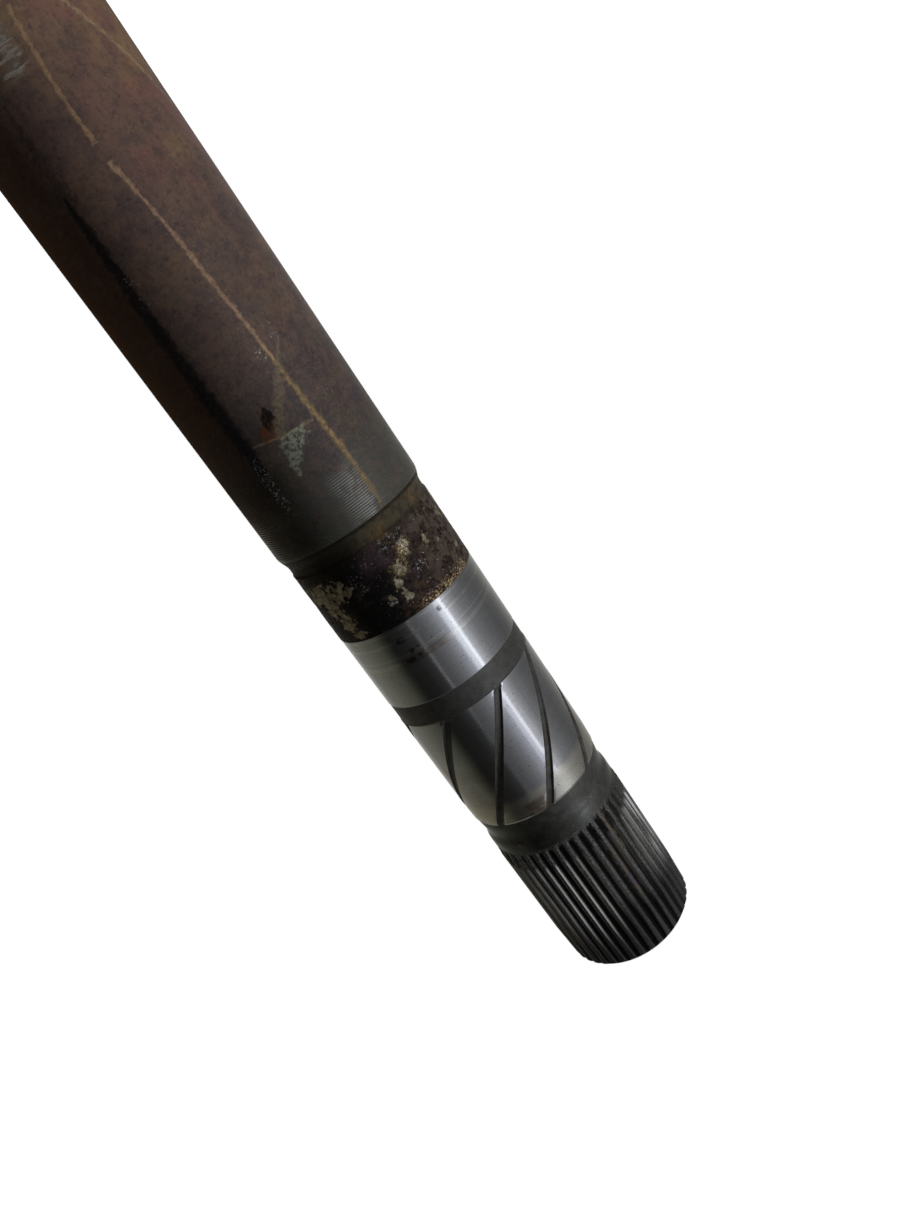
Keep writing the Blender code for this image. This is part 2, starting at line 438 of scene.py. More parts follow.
def bandBetween(first, second, firstStart, secondStart):
    # Faces between two rings. Where their counts differ, it walks round both and steps on the one that lags.
    firstCount = len(first[0])
    secondCount = len(second[0])
    if firstCount == secondCount:
        return [
            (firstStart + i - 1, firstStart + i, secondStart + i, secondStart + i - 1)
            if i
            else (firstStart + firstCount - 1, firstStart, secondStart, secondStart + secondCount - 1)
            for i in range(firstCount)
        ]
    walks = []
    for ring, start in ((first, firstStart), (second, secondStart)):
        turns = np.mod(ring[0], fullTurn)
        order = np.argsort(turns, kind="stable")
        closed = list(turns[order]) + [turns[order[0]] + fullTurn]
        walks.append((closed, [start + k for k in order] + [start + order[0]]))
    (firstTurns, a), (secondTurns, b) = walks
    faces = []
    i = 0
    j = 0
    while i < firstCount or j < secondCount:
        if j == secondCount or (i < firstCount and firstTurns[i + 1] <= secondTurns[j + 1]):
            faces.append((a[i], a[i + 1], b[j]))
            i += 1
        else:
            faces.append((a[i], b[j + 1], b[j]))
            j += 1
    return faces


def grooveColumns():
    # Which faces between two grooved rings belong to a groove, in the order that the ring's points go round.
    walls = 2 * len(groove["profile"]) - 2
    one = [False] + [True] * walls + [False] * (groove["landSides"] - 1)
    return one * groove["count"]


def shaftZones():
    # The whole skin, from the bottom of one centre hole to that of the other, each zone with its finish.
    lowerTip, lowerHole = holeRings(0.0, 1)
    upperTip, upperHole = holeRings(shaft["length"], -1)
    lowerTeeth = toothedRings(0.0, 1)
    upperTeeth = toothedRings(shaft["length"], -1)
    seal = sealJournalRings()
    shoulder = shoulderRings()
    zones = [
        ("faced", lowerHole + lowerTeeth[:1]),
        ("teeth", lowerTeeth[1:]),
        ("oxide", lowerNeckRings()),
        ("scale", bodyRings()[::-1] + shoulder[:-5:-1]),
        ("rough", shoulder[-5::-1]),
        ("rough", ungroundRings()[::-1]),
        ("ground", seal[:1:-1]),
        ("oxide", seal[1::-1]),
        ("grooved", groovedRings()[::-1]),
        ("oxide", neckRings()[::-1]),
        ("teeth", upperTeeth[:0:-1]),
        ("faced", upperTeeth[:1] + upperHole[::-1]),
    ]
    return lowerTip, zones, upperTip


def buildShaft(finishes):
    print("building the shaft's skin")
    order = list(finishes)
    lowerTip, zones, upperTip = shaftZones()
    inGroove = grooveColumns()
    points = [(0.0, 0.0, lowerTip)]
    faces = []
    slots = []
    previous = None
    for name, rings in zones:
        for ring in rings:
            start = len(points)
            turns, radii, heights = ring
            points += list(zip(radii * np.cos(turns), radii * np.sin(turns), heights))
            count = len(turns)
            if previous is None:
                made = [(0, start + (i + 1) % count, start + i) for i in range(count)]
            else:
                made = bandBetween(previous[0], ring, previous[1], start)
            faces += made
            if name == "grooved" and len(made) == len(inGroove):
                slots += [order.index("oxide" if dark else "ground") for dark in inGroove]
            else:
                slots += [order.index("oxide" if name == "grooved" else name)] * len(made)
            previous = (ring, start)
    tip = len(points)
    points.append((0.0, 0.0, upperTip))
    count = len(previous[0][0])
    faces += [(previous[1] + i, previous[1] + (i + 1) % count, tip) for i in range(count)]
    slots += [order.index("faced")] * count

    mesh = bpy.data.meshes.new("axleShaftSkin")
    mesh.from_pydata((np.array(points) * mm).tolist(), [], faces)
    mesh.polygons.foreach_set("material_index", slots)
    mesh.polygons.foreach_set("use_smooth", [True] * len(faces))
    for name in order:
        mesh.materials.append(finishes[name])
    bare = mesh.attributes.new("bareMetal", "FLOAT", "POINT")
    bare.data.foreach_set("value", [bareMetal(point) for point in points])
    mesh.set_sharp_from_angle(angle=math.radians(shaft["sharpAngle"]))
    skin = bpy.data.objects.new("axle_shaft_skin", mesh)
    bpy.context.scene.collection.objects.link(skin)
    print("skin:", len(points), "points,", sum(len(face) - 2 for face in faces), "triangles")
    return skin


def bareMetal(point):
    # How much of the old scale has flaked off the rough band here, for its colour.
    down = shaft["length"] - point[2]
    if not shaft["ungroundTop"] < down < shaft["ungroundEnd"]:
        return 0.0
    return flaked(math.atan2(point[1], point[0]), down)


def linear(hexColour):
    # The red, green, blue and alpha that a shader takes, from an sRGB hex colour.
    channels = [int(hexColour[i:i + 2], 16) / 255 for i in (1, 3, 5)]
    return tuple(c / 12.92 if c <= 0.04045 else ((c + 0.055) / 1.055) ** 2.4 for c in channels) + (1.0,)


def addNode(tree, kind, inputs=None, stops=None, **settings):
    # Adds a shader node with its settings, values and links, and returns its first output in use.
    made = tree.nodes.new("ShaderNode" + kind)
    for name, value in settings.items():
        setattr(made, name, value)
    inUse = [socket for socket in made.inputs if socket.enabled]
    for key, value in (inputs or {}).items():
        socket = inUse[key] if isinstance(key, int) else next(one for one in inUse if one.name == key)
        if isinstance(value, bpy.types.NodeSocket):
            tree.links.new(value, socket)
        else:
            socket.default_value = value
    if stops:
        elements = made.color_ramp.elements
        while len(elements) < len(stops):
            elements.new(1.0)
        for element, (position, colour) in zip(elements, stops):
            element.position = position
            element.color = linear(colour)
    return next(socket for socket in made.outputs if socket.enabled)


def startFinish(name, metallic, roughness):
    material = bpy.data.materials.new(name)
    material.use_nodes = True
    tree = material.node_tree
    shader = tree.nodes["Principled BSDF"]
    shader.inputs["Metallic"].default_value = metallic
    shader.inputs["Roughness"].default_value = roughness
    return material, tree, shader


def shaftPlace(tree):
    # Where a point is in millimetres, and how far round from the front, down from the top and off the axis.
    coords = addNode(tree, "TexCoord").node
    place = addNode(tree, "VectorMath", {0: coords.outputs["Object"], "Scale": 1 / mm}, operation="SCALE")
    x, y, z = addNode(tree, "SeparateXYZ", {0: place}).node.outputs
    down = addNode(tree, "Math", {0: shaft["length"], 1: z}, operation="SUBTRACT")
    front = addNode(tree, "Math", {0: y, 1: -1.0}, operation="MULTIPLY")
    turn = addNode(tree, "Math", {0: x, 1: front}, operation="ARCTAN2")
    around = addNode(tree, "Math", {0: turn, 1: shaft["journalRadius"]}, operation="MULTIPLY")
    onward = addNode(tree, "CombineXYZ", {0: front, 1: x})
    radius = addNode(tree, "VectorMath", {0: onward}, operation="LENGTH")
    onward = addNode(tree, "VectorMath", {0: onward}, operation="NORMALIZE")
    normal = coords.outputs["Normal"]
    return dict(point=place, down=down, around=around, radius=radius, onward=onward, normal=normal)


def within(tree, amount, value, stretch):
    # Keeps an amount to a stretch of the shaft: where it starts and ends, and how softly, in millimetres.
    start, end, soft = stretch
    for edge, rise in ((start, soft), (end, -soft)):
        ramp = {"Value": value, "From Min": edge - rise / 2, "From Max": edge + rise / 2}
        inside = addNode(tree, "MapRange", ramp, interpolation_type="SMOOTHSTEP")
        amount = addNode(tree, "Math", {0: amount, 1: inside}, operation="MULTIPLY")
    return amount


def patchAmount(tree, place, patch):
    # How strongly a patchy tint shows. Its blotches are about as large as its size, longer by its stretch.
    moved = addNode(tree, "VectorMath", {0: place["point"], 1: (patch["seed"], 0, 0)}, operation="ADD")
    if "stretch" in patch:
        moved = addNode(tree, "VectorMath", {0: moved, 1: patch["stretch"]}, operation="DIVIDE")
    pattern = {"Vector": moved, "Scale": 1 / patch["size"], "Detail": 4.0, "Roughness": 0.6}
    blotch = addNode(tree, "TexNoise", pattern)
    low, high = patch["spread"]
    ramp = {"Value": blotch, "From Min": low, "From Max": high, "To Max": patch["most"]}
    amount = addNode(tree, "MapRange", ramp, interpolation_type="SMOOTHSTEP")
    for way in ("down", "around"):
        if way in patch:
            amount = within(tree, amount, place[way], patch[way])
    return amount


def cloudedTone(tree, place, finish):
    # A finish's own colour, clouded between its dark and its pale tone.
    cloud = {"Vector": place["point"], "Scale": 1 / finish["cloudSize"], "Detail": 4.0}
    cloud = addNode(tree, "TexNoise", cloud)
    return addNode(tree, "ValToRGB", {0: cloud}, stops=[(0.35, finish["dark"]), (0.65, finish["pale"])])


def tintPatches(tree, place, colour, patches):
    for patch in patches:
        layer = {"Factor": patchAmount(tree, place, patch), "A": colour, "B": linear(patch["colour"])}
        colour = addNode(tree, "Mix", layer, data_type="RGBA")
    return colour


# How large the tears in a stroke's edge and the gaps in it are, and how softly it ends, in millimetres.
strokeEdge = dict(tear=1.8, gap=1.2, fade=0.6)


def strokeAmount(tree, place, stroke, uneven):
    # A mark drawn through points, each given as its place along, its place across and its half width. It runs
    # down the shaft, or round it, with a torn edge and, where it is broken, gaps.
    along = place[stroke.get("runs", "down")]
    across = place["down" if stroke.get("runs") == "around" else "around"]
    points = stroke["points"]
    first, last = points[0][0], points[-1][0]
    share = addNode(tree, "MapRange", {"Value": along, "From Min": first, "From Max": last})
    bends = []
    for column in (1, 2):
        low = min(point[column] for point in points) - 1
        high = max(point[column] for point in points) + 1
        curve = addNode(tree, "FloatCurve", {"Value": share})
        mapping = curve.node.mapping
        while len(mapping.curves[0].points) < len(points):
            mapping.curves[0].points.new(0.5, 0.5)
        for spot, point in zip(mapping.curves[0].points, points):
            spot.location = ((point[0] - first) / (last - first), (point[column] - low) / (high - low))
        mapping.update()
        bends.append(addNode(tree, "MapRange", {"Value": curve, "To Min": low, "To Max": high}))
    aside = addNode(tree, "Math", {0: across, 1: bends[0]}, operation="SUBTRACT")
    aside = addNode(tree, "Math", {0: aside}, operation="ABSOLUTE")
    ragged = stroke.get("ragged", 0.7)
    torn = {"Value": uneven["coarse"], "From Min": 0.3, "From Max": 0.7}
    torn = addNode(tree, "MapRange", {**torn, "To Min": 1 - ragged, "To Max": 1 + ragged})
    reach = addNode(tree, "Math", {0: bends[1], 1: torn}, operation="MULTIPLY")
    core = addNode(tree, "Math", {0: reach, 1: 0.3}, operation="MULTIPLY")
    ramp = {"Value": aside, "From Min": reach, "From Max": core}
    amount = addNode(tree, "MapRange", ramp, interpolation_type="SMOOTHSTEP")
    whole = {"Value": uneven["fine"], "From Min": 0.42, "From Max": 0.56}
    whole = addNode(tree, "MapRange", {**whole, "To Min": 1 - stroke.get("broken", 0.0)})
    amount = addNode(tree, "Math", {0: amount, 1: whole}, operation="MULTIPLY")
    amount = addNode(tree, "Math", {0: amount, 1: stroke["most"]}, operation="MULTIPLY")
    return within(tree, amount, along, (first, last, strokeEdge["fade"]))


def drawStrokes(tree, place, colour, strokes):
    # Draws the strokes over a colour, and also gives how much of the surface they cover.
    coarse = {"Vector": place["point"], "Scale": 1 / strokeEdge["tear"], "Detail": 4.0}
    coarse = addNode(tree, "TexNoise", coarse)
    fine = {"Vector": place["point"], "Scale": 1 / strokeEdge["gap"], "Detail": 5.0, "Roughness": 0.65}
    uneven = dict(coarse=coarse, fine=addNode(tree, "TexNoise", fine))
    covered = None
    for stroke in strokes:
        amount = strokeAmount(tree, place, stroke, uneven)
        layer = {"Factor": amount, "A": colour, "B": linear(stroke["colour"])}
        colour = addNode(tree, "Mix", layer, data_type="RGBA")
        both = {0: covered or 0.0, 1: amount}
        covered = addNode(tree, "Math", both, operation="MAXIMUM")
    return colour, covered


def tint(size, seed, spread, most, colour=None, **where):
    # A patchy tint: how large its blotches are in millimetres, its own seed, the values of the noise that it
    # fades in between, how strong it gets and its colour. It may keep to a stretch down and round the shaft.
    return dict(size=size, seed=seed, spread=spread, most=most, colour=colour, **where)


def mark(colour, most, points, **edges):
    # A stroke's colour, how strong it gets, its points and how its edges and gaps are torn.
    return dict(colour=colour, most=most, points=points, **edges)


# Mill scale: the dark oxide skin that hot rolling and hardening leave. Satin, brown to violet by heat tint.
scale = dict(
    # Its colour by the distance down from the grooved end: greyer where it was turned, browner further down.
    heat=[
        (186, "#4a4538"),
        (192, "#46453d"),
        (207, "#45443f"),
        (219, "#443f3a"),
        (232, "#50463f"),
        (247, "#5a4c44"),
        (270, "#635145"),
        (290, "#655146"),
        (320, "#665147"),
        (345, "#7e6852"),
        (390, "#564840"),
        (600, "#50443d"),
    ],
    # How far the heat tints wander along the shaft, and over what size.
    wander=26,
    wanderSize=16,
    grainSize=0.45,
    feedPitch=0.8,
    specular=0.3,
    roughness=(0.34, 0.5),
    # How much smoother the turned end is, and how much rougher rust is.
    turnedGloss=0.14,
    rustRoughness=0.3,
    # How much of the turned end's own colour shows, and how metallic bare places are.
    turnedShare=0.6,
    bareShare=0.7,
    # How far the grain, the rust and the turned lines stand up, in millimetres.
    grainHeight=0.02,
    rustHeight=0.05,
    lineHeight=0.02,
    tints=[
        tint(11, 0, (0.42, 0.62), 0.5, "#403539"),
        tint(15, 40, (0.46, 0.62), 0.3, "#35363d", down=(205, 290, 30)),
        tint(9, 80, (0.52, 0.68), 0.2, "#554735"),
        tint(3.4, 84, (0.46, 0.62), 0.3, "#6e5449"),
        tint(2.6, 88, (0.48, 0.62), 0.35, "#39323a"),
        tint(7, 130, (0.3, 0.55), 0.5, "#5a381c", down=(225, 640, 30), around=(15.5, 44, 4)),
        tint(10, 120, (0.42, 0.58), 0.5, "#74504a", down=(292, 350, 24), around=(-34, -6, 8)),
        tint(7, 20, (0.4, 0.6), 0.45, "#866c4b", down=(318, 356, 12), around=(-38, -16, 8)),
        tint(2.6, 33, (0.42, 0.6), 0.4, "#7d6c46", down=(297, 303, 4), around=(-25, -16.5, 5)),
        tint(9, 95, (0.2, 0.4), 0.65, "#23261e", down=(180, 218, 14), around=(7, 34, 8)),
        tint(1, 5, (0.5, 0.75), 0.2, "#6b6057", stretch=(7, 7, 1)),
        tint(1.1, 50, (0.5, 0.7), 0.35, "#241d1a"),
        tint(0.7, 7, (0.53, 0.69), 0.22, "#85746a"),
    ],
    # A painted dark reflection down the shaft, then rust along the shaft where something dripped or rubbed,
    # and round it.
    rustAndPaintedLight=[
        # A painted dark reflection: a blue-black stripe down the shaft.
        mark(
            "#07070b", 0.95, broken=0.2, ragged=0.35,
            points=[
                (217, 12.9, 0.5), (223, 13, 3), (236, 13.3, 3.5), (249, 13.5, 3.5),
                (262, 13.4, 3.2), (277, 13.2, 2.8), (290, 13, 2.2), (304, 12.8, 0.6),
            ],
        ),
        # Its fading end, also painted reflection.
        mark(
            "#14100f", 0.5, broken=0.5,
            points=[(280, 12.8, 0.8), (294, 12.4, 2.2), (306, 12, 3), (318, 11.6, 2), (328, 11.2, 0.6)],
        ),
        mark(
            "#7d5f52", 0.28, broken=0.5,
            points=[(268, -18, 0.8), (290, -18.2, 1.5), (310, -18.4, 1.6), (330, -18.6, 0.8)],
        ),
        mark(
            "#8a7452", 0.75, broken=0.5, ragged=0.5,
            points=[
                (191.5, -9.9, 0.8), (206, -10, 1.5), (222, -8.9, 1.4),
                (236, -8.1, 1.3), (246, -7.5, 0.9),
            ],
        ),
        mark(
            "#a8946e", 0.4, broken=1,
            points=[
                (200, -10.1, 0.4), (214, -9.6, 0.6), (226, -8.6, 0.7),
                (236, -8.1, 0.7), (248, -7.4, 0.4),
            ],
        ),
        mark(
            "#a98a70", 0.75, broken=0.6, ragged=0.6,
            points=[
                (240, -8, 0.6), (257, -6.9, 0.9), (270, -5.9, 0.9),
                (283, -4.9, 0.85), (296, -3.4, 0.8), (304.5, -2, 1.1),
            ],
        ),
        mark(
            "#a18360", 0.65, broken=0.5,
            points=[
                (309.5, -2, 1.1), (315, -1.8, 0.8), (321.5, -1.8, 0.8),
                (334, -2.7, 0.8), (344.5, -3.6, 0.8),
            ],
        ),
        mark(
            "#9a8768", 0.55, broken=0.7,
            points=[
                (311, -32.5, 0.8), (321, -27.6, 1), (329, -23.2, 1.1),
                (339, -17.4, 1.4), (346, -14, 1.4),
            ],
        ),
        mark(
            "#8c7552", 0.65, broken=0.5, ragged=0.5, runs="around",
            points=[
                (-7.6, 222.6, 0.4), (-1.9, 223, 0.6), (2.2, 223.5, 0.7),
                (6, 224.4, 0.6), (10.8, 225.2, 0.4),
            ],
        ),
        # A spot of red rust and the dark pit beside it.
        mark(
            "#582b0c", 0.9, broken=0.6, ragged=0.7, runs="around",
            points=[(2.2, 227.8, 1.6), (3.8, 227.2, 4), (5.4, 226.8, 4), (7.6, 226.4, 1.2)],
        ),
        mark(
            "#0a0401", 1, broken=0.2, ragged=0.8, runs="around",
            points=[(0.6, 229.2, 1.6), (1.8, 229.8, 4.2), (3.2, 229.8, 4.2), (4.8, 229, 1.8)],
        ),
    ],
    # Places scraped down to paler metal.
    scrapes=[
        mark(
            "#857762", 0.7, broken=0.7, ragged=0.5,
            points=[
                (221.5, 2.8, 1.2), (225, 1.6, 2.6), (229.7, -1, 3), (233.2, -3.2, 2.8),
                (236.7, -5.4, 2.2), (240.1, -7.4, 1.4), (243, -10, 1.1), (246.6, -13, 0.4),
            ],
        ),
        mark(
            "#9aa08e", 0.9, broken=1, ragged=0.6,
            points=[
                (211.4, 4.4, 0.4), (214.5, 4, 2.2), (217.5, 2.4, 4.2),
                (220.6, 0.2, 6), (223.4, -0.8, 6.4),
            ],
        ),
        mark("#8f867a", 0.6, broken=0.8, points=[(331, 3.6, 1), (336, 2.4, 3), (342, 0.4, 2)]),
    ],
    nicks=[
        tint(0.8, 3, (0.565, 0.63), 0.85, "#b4b6b8", down=(203, 222, 5), around=(12, 15.2, 2)),
        tint(1, 9, (0.58, 0.64), 0.6, "#8f8983", down=(271, 282, 5), around=(9.6, 13.4, 3)),
        tint(0.9, 13, (0.62, 0.68), 0.6, "#a59c94", down=(240, 264, 8), around=(-8, -3.6, 3)),
        tint(0.9, 17, (0.62, 0.68), 0.5, "#94928c", down=(218, 229, 5), around=(-18.5, -14, 3)),
        tint(0.8, 21, (0.52, 0.6), 0.8, "#b0a49c", down=(243.2, 246.2, 2), around=(-7, -4.6, 1.6)),
        tint(0.8, 25, (0.5, 0.56), 0.7, "#a09a90", stretch=(6, 6, 1), down=(331, 344, 3), around=(0, 7, 2)),
        tint(1, 19, (0.56, 0.63), 0.75, "#aaa29a", down=(246.6, 250.6, 3), around=(-13, -10.5, 2.5)),
        tint(0.8, 23, (0.58, 0.64), 0.6, "#8d8d87", down=(189, 192.5, 2), around=(7, 13, 3)),
    ],
    # The end turned last is brighter than the rest and still shows the tool's lines.
    turned=tint(6, 90, (0.3, 0.6), 1, "#5b5c56", down=(170, 208, 14)),
    # A painted highlight on the lines' crests, where they catch the light most.
    line=tint(6, 98, (0.32, 0.54), 0.7, "#a6a8a4", down=(186, 206, 8), around=(-9.6, -0.8, 5)),
)


def millScale():
    # Black mill scale over hardened steel, matt to satin, with heat tints, rust lines and scraped places.
    material, tree, shader = startFinish("mill scale, heat tinted", 0.0, 0.42)
    shader.inputs["Specular IOR Level"].default_value = scale["specular"]
    place = shaftPlace(tree)
    drift = {"Vector": place["point"], "Scale": 1 / scale["wanderSize"], "Detail": 4.0}
    drift = addNode(tree, "TexNoise", drift)
    shifted = {0: drift, 1: scale["wander"], 2: place["down"]}
    shifted = addNode(tree, "Math", shifted, operation="MULTIPLY_ADD")
    first, last = scale["heat"][0][0], scale["heat"][-1][0]
    ramp = {"Value": shifted, "From Min": first + scale["wander"] / 2, "From Max": last + scale["wander"] / 2}
    along = addNode(tree, "MapRange", ramp)
    heat = [((down - first) / (last - first), colour) for down, colour in scale["heat"]]
    colour = addNode(tree, "ValToRGB", {0: along}, stops=heat)
    colour = tintPatches(tree, place, colour, scale["tints"])

    # The turned end's lines, as relief and, where they catch the light, as painted highlight rings.
    turned = patchAmount(tree, place, scale["turned"])
    feed = addNode(tree, "Math", {0: place["down"], 1: fullTurn / scale["feedPitch"]}, operation="MULTIPLY")
    feed = addNode(tree, "Math", {0: feed}, operation="SINE")
    feed = addNode(tree, "Math", {0: feed, 1: turned}, operation="MULTIPLY")
    bright = addNode(tree, "Math", {0: turned, 1: scale["turnedShare"]}, operation="MULTIPLY")
    layer = {"Factor": bright, "A": colour, "B": linear(scale["turned"]["colour"])}
    colour = addNode(tree, "Mix", layer, data_type="RGBA")
    ring = addNode(tree, "MapRange", {"Value": feed, "From Min": 0.1, "From Max": 0.8})
    ring = addNode(tree, "Math", {0: ring, 1: patchAmount(tree, place, scale["line"])}, operation="MULTIPLY")
    layer = {"Factor": ring, "A": colour, "B": linear(scale["line"]["colour"])}
    colour = addNode(tree, "Mix", layer, data_type="RGBA")

    colour, rustAndPaintedReflection = drawStrokes(tree, place, colour, scale["rustAndPaintedLight"])
    colour, scraped = drawStrokes(tree, place, colour, scale["scrapes"])
    colour = tintPatches(tree, place, colour, scale["nicks"])
    tree.links.new(colour, shader.inputs["Base Color"])
    metal = addNode(tree, "Math", {0: scraped, 1: bright}, operation="MAXIMUM")
    metal = addNode(tree, "Math", {0: metal, 1: scale["bareShare"]}, operation="MULTIPLY")
    tree.links.new(metal, shader.inputs["Metallic"])

    grain = {"Vector": place["point"], "Scale": 1 / scale["grainSize"], "Detail": 3.0, "Roughness": 0.6}
    grain = addNode(tree, "TexNoise", grain)
    low, high = scale["roughness"]
    rough = {"Value": grain, "From Min": 0.35, "From Max": 0.65, "To Min": low, "To Max": high}
    rough = addNode(tree, "MapRange", rough)
    for amount, more in ((turned, -scale["turnedGloss"]), (rustAndPaintedReflection, scale["rustRoughness"])):
        rough = addNode(tree, "Math", {0: amount, 1: more, 2: rough}, operation="MULTIPLY_ADD")
    tree.links.new(rough, shader.inputs["Roughness"])
    normal = addNode(tree, "Bump", {"Height": grain, "Distance": scale["grainHeight"] * mm})
    for height, key in ((rustAndPaintedReflection, "rustHeight"), (feed, "lineHeight")):
        normal = addNode(tree, "Bump", {"Height": height, "Distance": scale[key] * mm, "Normal": normal})
    tree.links.new(normal, shader.inputs["Normal"])
    return material


# A band left rough between two turned ones: old forging scale gone to rust, flaked off in places.
roughBand = dict(
    scale="#241b18",
    grainSize=0.9,
    cloudSize=1.4,
    specular=0.18,
    roughness=(0.38, 0.66),
    # How much smoother a glint is, and how metallic flaked places are.
    glintGloss=0.14,
    flakeShare=0.8,
    # How much the grain eats into the edge of a flaked place, and between which sums of both it shows.
    eaten=1.6,
    worn=(1.2, 1.8),
    # How far the grain and the glinting crystals stand up, in millimetres.
    grainHeight=0.12,
    glintHeight=0.14,
    tints=[
        tint(5, 0, (0.44, 0.56), 0.8, "#3b2f29"),
        tint(3.4, 21, (0.5, 0.6), 0.6, "#33262c"),
        tint(2.4, 41, (0.52, 0.62), 0.7, "#463628"),
        tint(5, 45, (0.36, 0.48), 0.95, "#0b0a0a", around=(0.5, 17, 4)),
        tint(1.5, 51, (0.5, 0.58), 0.85, "#0b0808"),
        tint(3, 55, (0.46, 0.56), 0.7, "#4e463e", around=(-36, -12, 8)),
        tint(4, 57, (0.3, 0.5), 0.6, "#41343a", down=(175, 184, 4), around=(-2, 6.5, 3)),
        # Golden brown under the cluster of glints and along its lower side.
        tint(2, 58, (0.42, 0.54), 0.6, "#665232", down=(173.6, 178.6, 2.4), around=(-10.6, -5.6, 2.4)),
        tint(1.6, 59, (0.46, 0.56), 0.65, "#62563a", down=(169.6, 173.6, 2.4), around=(-6.4, -0.6, 2.4)),
        # The shoulder, scraped and greener, with orange rust in its hollow and a dark line by the body.
        tint(6, 71, (0.2, 0.4), 0.9, "#443e31", down=(183.4, 193, 2.4)),
        tint(2, 73, (0.48, 0.6), 0.6, "#28231c", down=(181.5, 193, 3)),
        tint(5, 76, (0.2, 0.4), 0.8, "#13130f", down=(180, 193, 3), around=(3.5, 20, 7)),
        tint(6, 74, (0.1, 0.3), 0.7, "#15110d", down=(188.7, 190.2, 0.7)),
        tint(3, 75, (0.44, 0.58), 0.5, "#6e4f2c", down=(183.4, 188, 2.4), around=(-26, -20, 3)),
        tint(2.6, 77, (0.42, 0.58), 0.5, "#66502e", down=(182.6, 187, 3), around=(-8, -2, 4)),
        # A brown and tan fringe beside the ground journal.
        tint(1.8, 81, (0.46, 0.58), 0.6, "#5d4630", down=(155.5, 159, 1.8), around=(-30, 2, 6)),
        tint(0.6, 83, (0.53, 0.6), 0.85, "#b8a57e", down=(155.5, 160, 2.4), around=(-26, -3, 4)),
    ],
    # Crystals of bare metal in the scale, one golden cluster and whiter specks, made shinier, their
    # near-white colours painted glints.
    crystalsAndPaintedGlints=[
        tint(0.8, 61, (0.63, 0.68), 0.7, "#b5afaa", down=(158, 183, 5), around=(-27, 7, 6)),
        tint(0.8, 67, (0.58, 0.63), 0.85, "#b4b4b8", down=(166.2, 170.6, 2), around=(-12, -6.7, 2)),
        tint(0.9, 68, (0.56, 0.63), 0.75, "#a2a3a4", down=(178.6, 182.6, 2), around=(-9.4, -2.4, 2)),
        tint(0.6, 64, (0.52, 0.6), 0.75, "#a8976a", down=(170, 174, 2), around=(-6.2, -0.4, 2)),
        tint(0.5, 63, (0.52, 0.58), 1, "#fff4d6", down=(176, 178.8, 1.6), around=(-10.4, -7.4, 1.8)),
        tint(0.5, 65, (0.53, 0.59), 1, "#f6e2b4", down=(173.4, 176.8, 1.6), around=(-9, -5.8, 1.8)),
        tint(0.9, 69, (0.48, 0.56), 0.8, "#b6b3ad", down=(163.4, 165.2, 1), around=(2.4, 5.4, 1.2)),
        tint(0.8, 70, (0.57, 0.63), 0.8, "#a9a9aa", down=(171, 178, 2), around=(8, 11.4, 2)),
    ],
    flake=[(0.34, "#403729"), (0.44, "#7e755c"), (0.56, "#b4ac92"), (0.68, "#d6d0bc")],
)


def roughSteel():
    # Rusted scale, dark and pitted. Where it has flaked off, tan metal glints through.
    material, tree, shader = startFinish("rusted forging scale", 0.0, 0.5)
    shader.inputs["Specular IOR Level"].default_value = roughBand["specular"]
    place = shaftPlace(tree)
    colour = tintPatches(tree, place, linear(roughBand["scale"]), roughBand["tints"])
    flake = addNode(tree, "Attribute", attribute_name="bareMetal").node.outputs["Fac"]
    grainScale = 1 / roughBand["grainSize"]
    fine = {"Vector": place["point"], "Scale": grainScale, "Detail": 4.0, "Roughness": 0.7}
    fine = addNode(tree, "TexNoise", fine)
    low, high = roughBand["worn"]
    worn = addNode(tree, "Math", {0: fine, 1: roughBand["eaten"], 2: flake}, operation="MULTIPLY_ADD")
    worn = {"Value": worn, "From Min": low, "From Max": high}
    worn = addNode(tree, "MapRange", worn, interpolation_type="SMOOTHSTEP")
    clouds = {"Vector": place["point"], "Scale": 1 / roughBand["cloudSize"], "Detail": 6.0, "Roughness": 0.75}
    clouds = addNode(tree, "TexNoise", clouds)
    metal = addNode(tree, "ValToRGB", {0: clouds}, stops=roughBand["flake"])
    colour = addNode(tree, "Mix", {"Factor": worn, "A": colour, "B": metal}, data_type="RGBA")
    glint = None
    for patch in roughBand["crystalsAndPaintedGlints"]:
        amount = patchAmount(tree, place, patch)
        layer = {"Factor": amount, "A": colour, "B": linear(patch["colour"])}
        colour = addNode(tree, "Mix", layer, data_type="RGBA")
        glint = addNode(tree, "Math", {0: glint or 0.0, 1: amount}, operation="MAXIMUM")
    tree.links.new(colour, shader.inputs["Base Color"])
    metallic = addNode(tree, "Math", {0: worn, 1: roughBand["flakeShare"]}, operation="MULTIPLY")
    metallic = addNode(tree, "Math", {0: metallic, 1: glint}, operation="MAXIMUM")
    tree.links.new(metallic, shader.inputs["Metallic"])
    low, high = roughBand["roughness"]
    rough = {"Value": fine, "From Min": 0.35, "From Max": 0.65, "To Min": low, "To Max": high}
    rough = addNode(tree, "MapRange", rough)
    rough = addNode(tree, "Math", {0: glint, 1: -roughBand["glintGloss"], 2: rough}, operation="MULTIPLY_ADD")
    tree.links.new(rough, shader.inputs["Roughness"])
    # The grain stands up more where metal glints, so its crystals face every way.
    grain = addNode(tree, "TexVoronoi", {"Vector": place["point"], "Scale": grainScale})
    normal = addNode(tree, "Bump", {"Height": fine, "Distance": roughBand["grainHeight"] * mm})
    glinting = addNode(tree, "Math", {0: glint, 1: grain}, operation="MULTIPLY")
    crystals = {"Height": glinting, "Distance": roughBand["glintHeight"] * mm, "Normal": normal}
    normal = addNode(tree, "Bump", crystals)
    tree.links.new(normal, shader.inputs["Normal"])
    return material


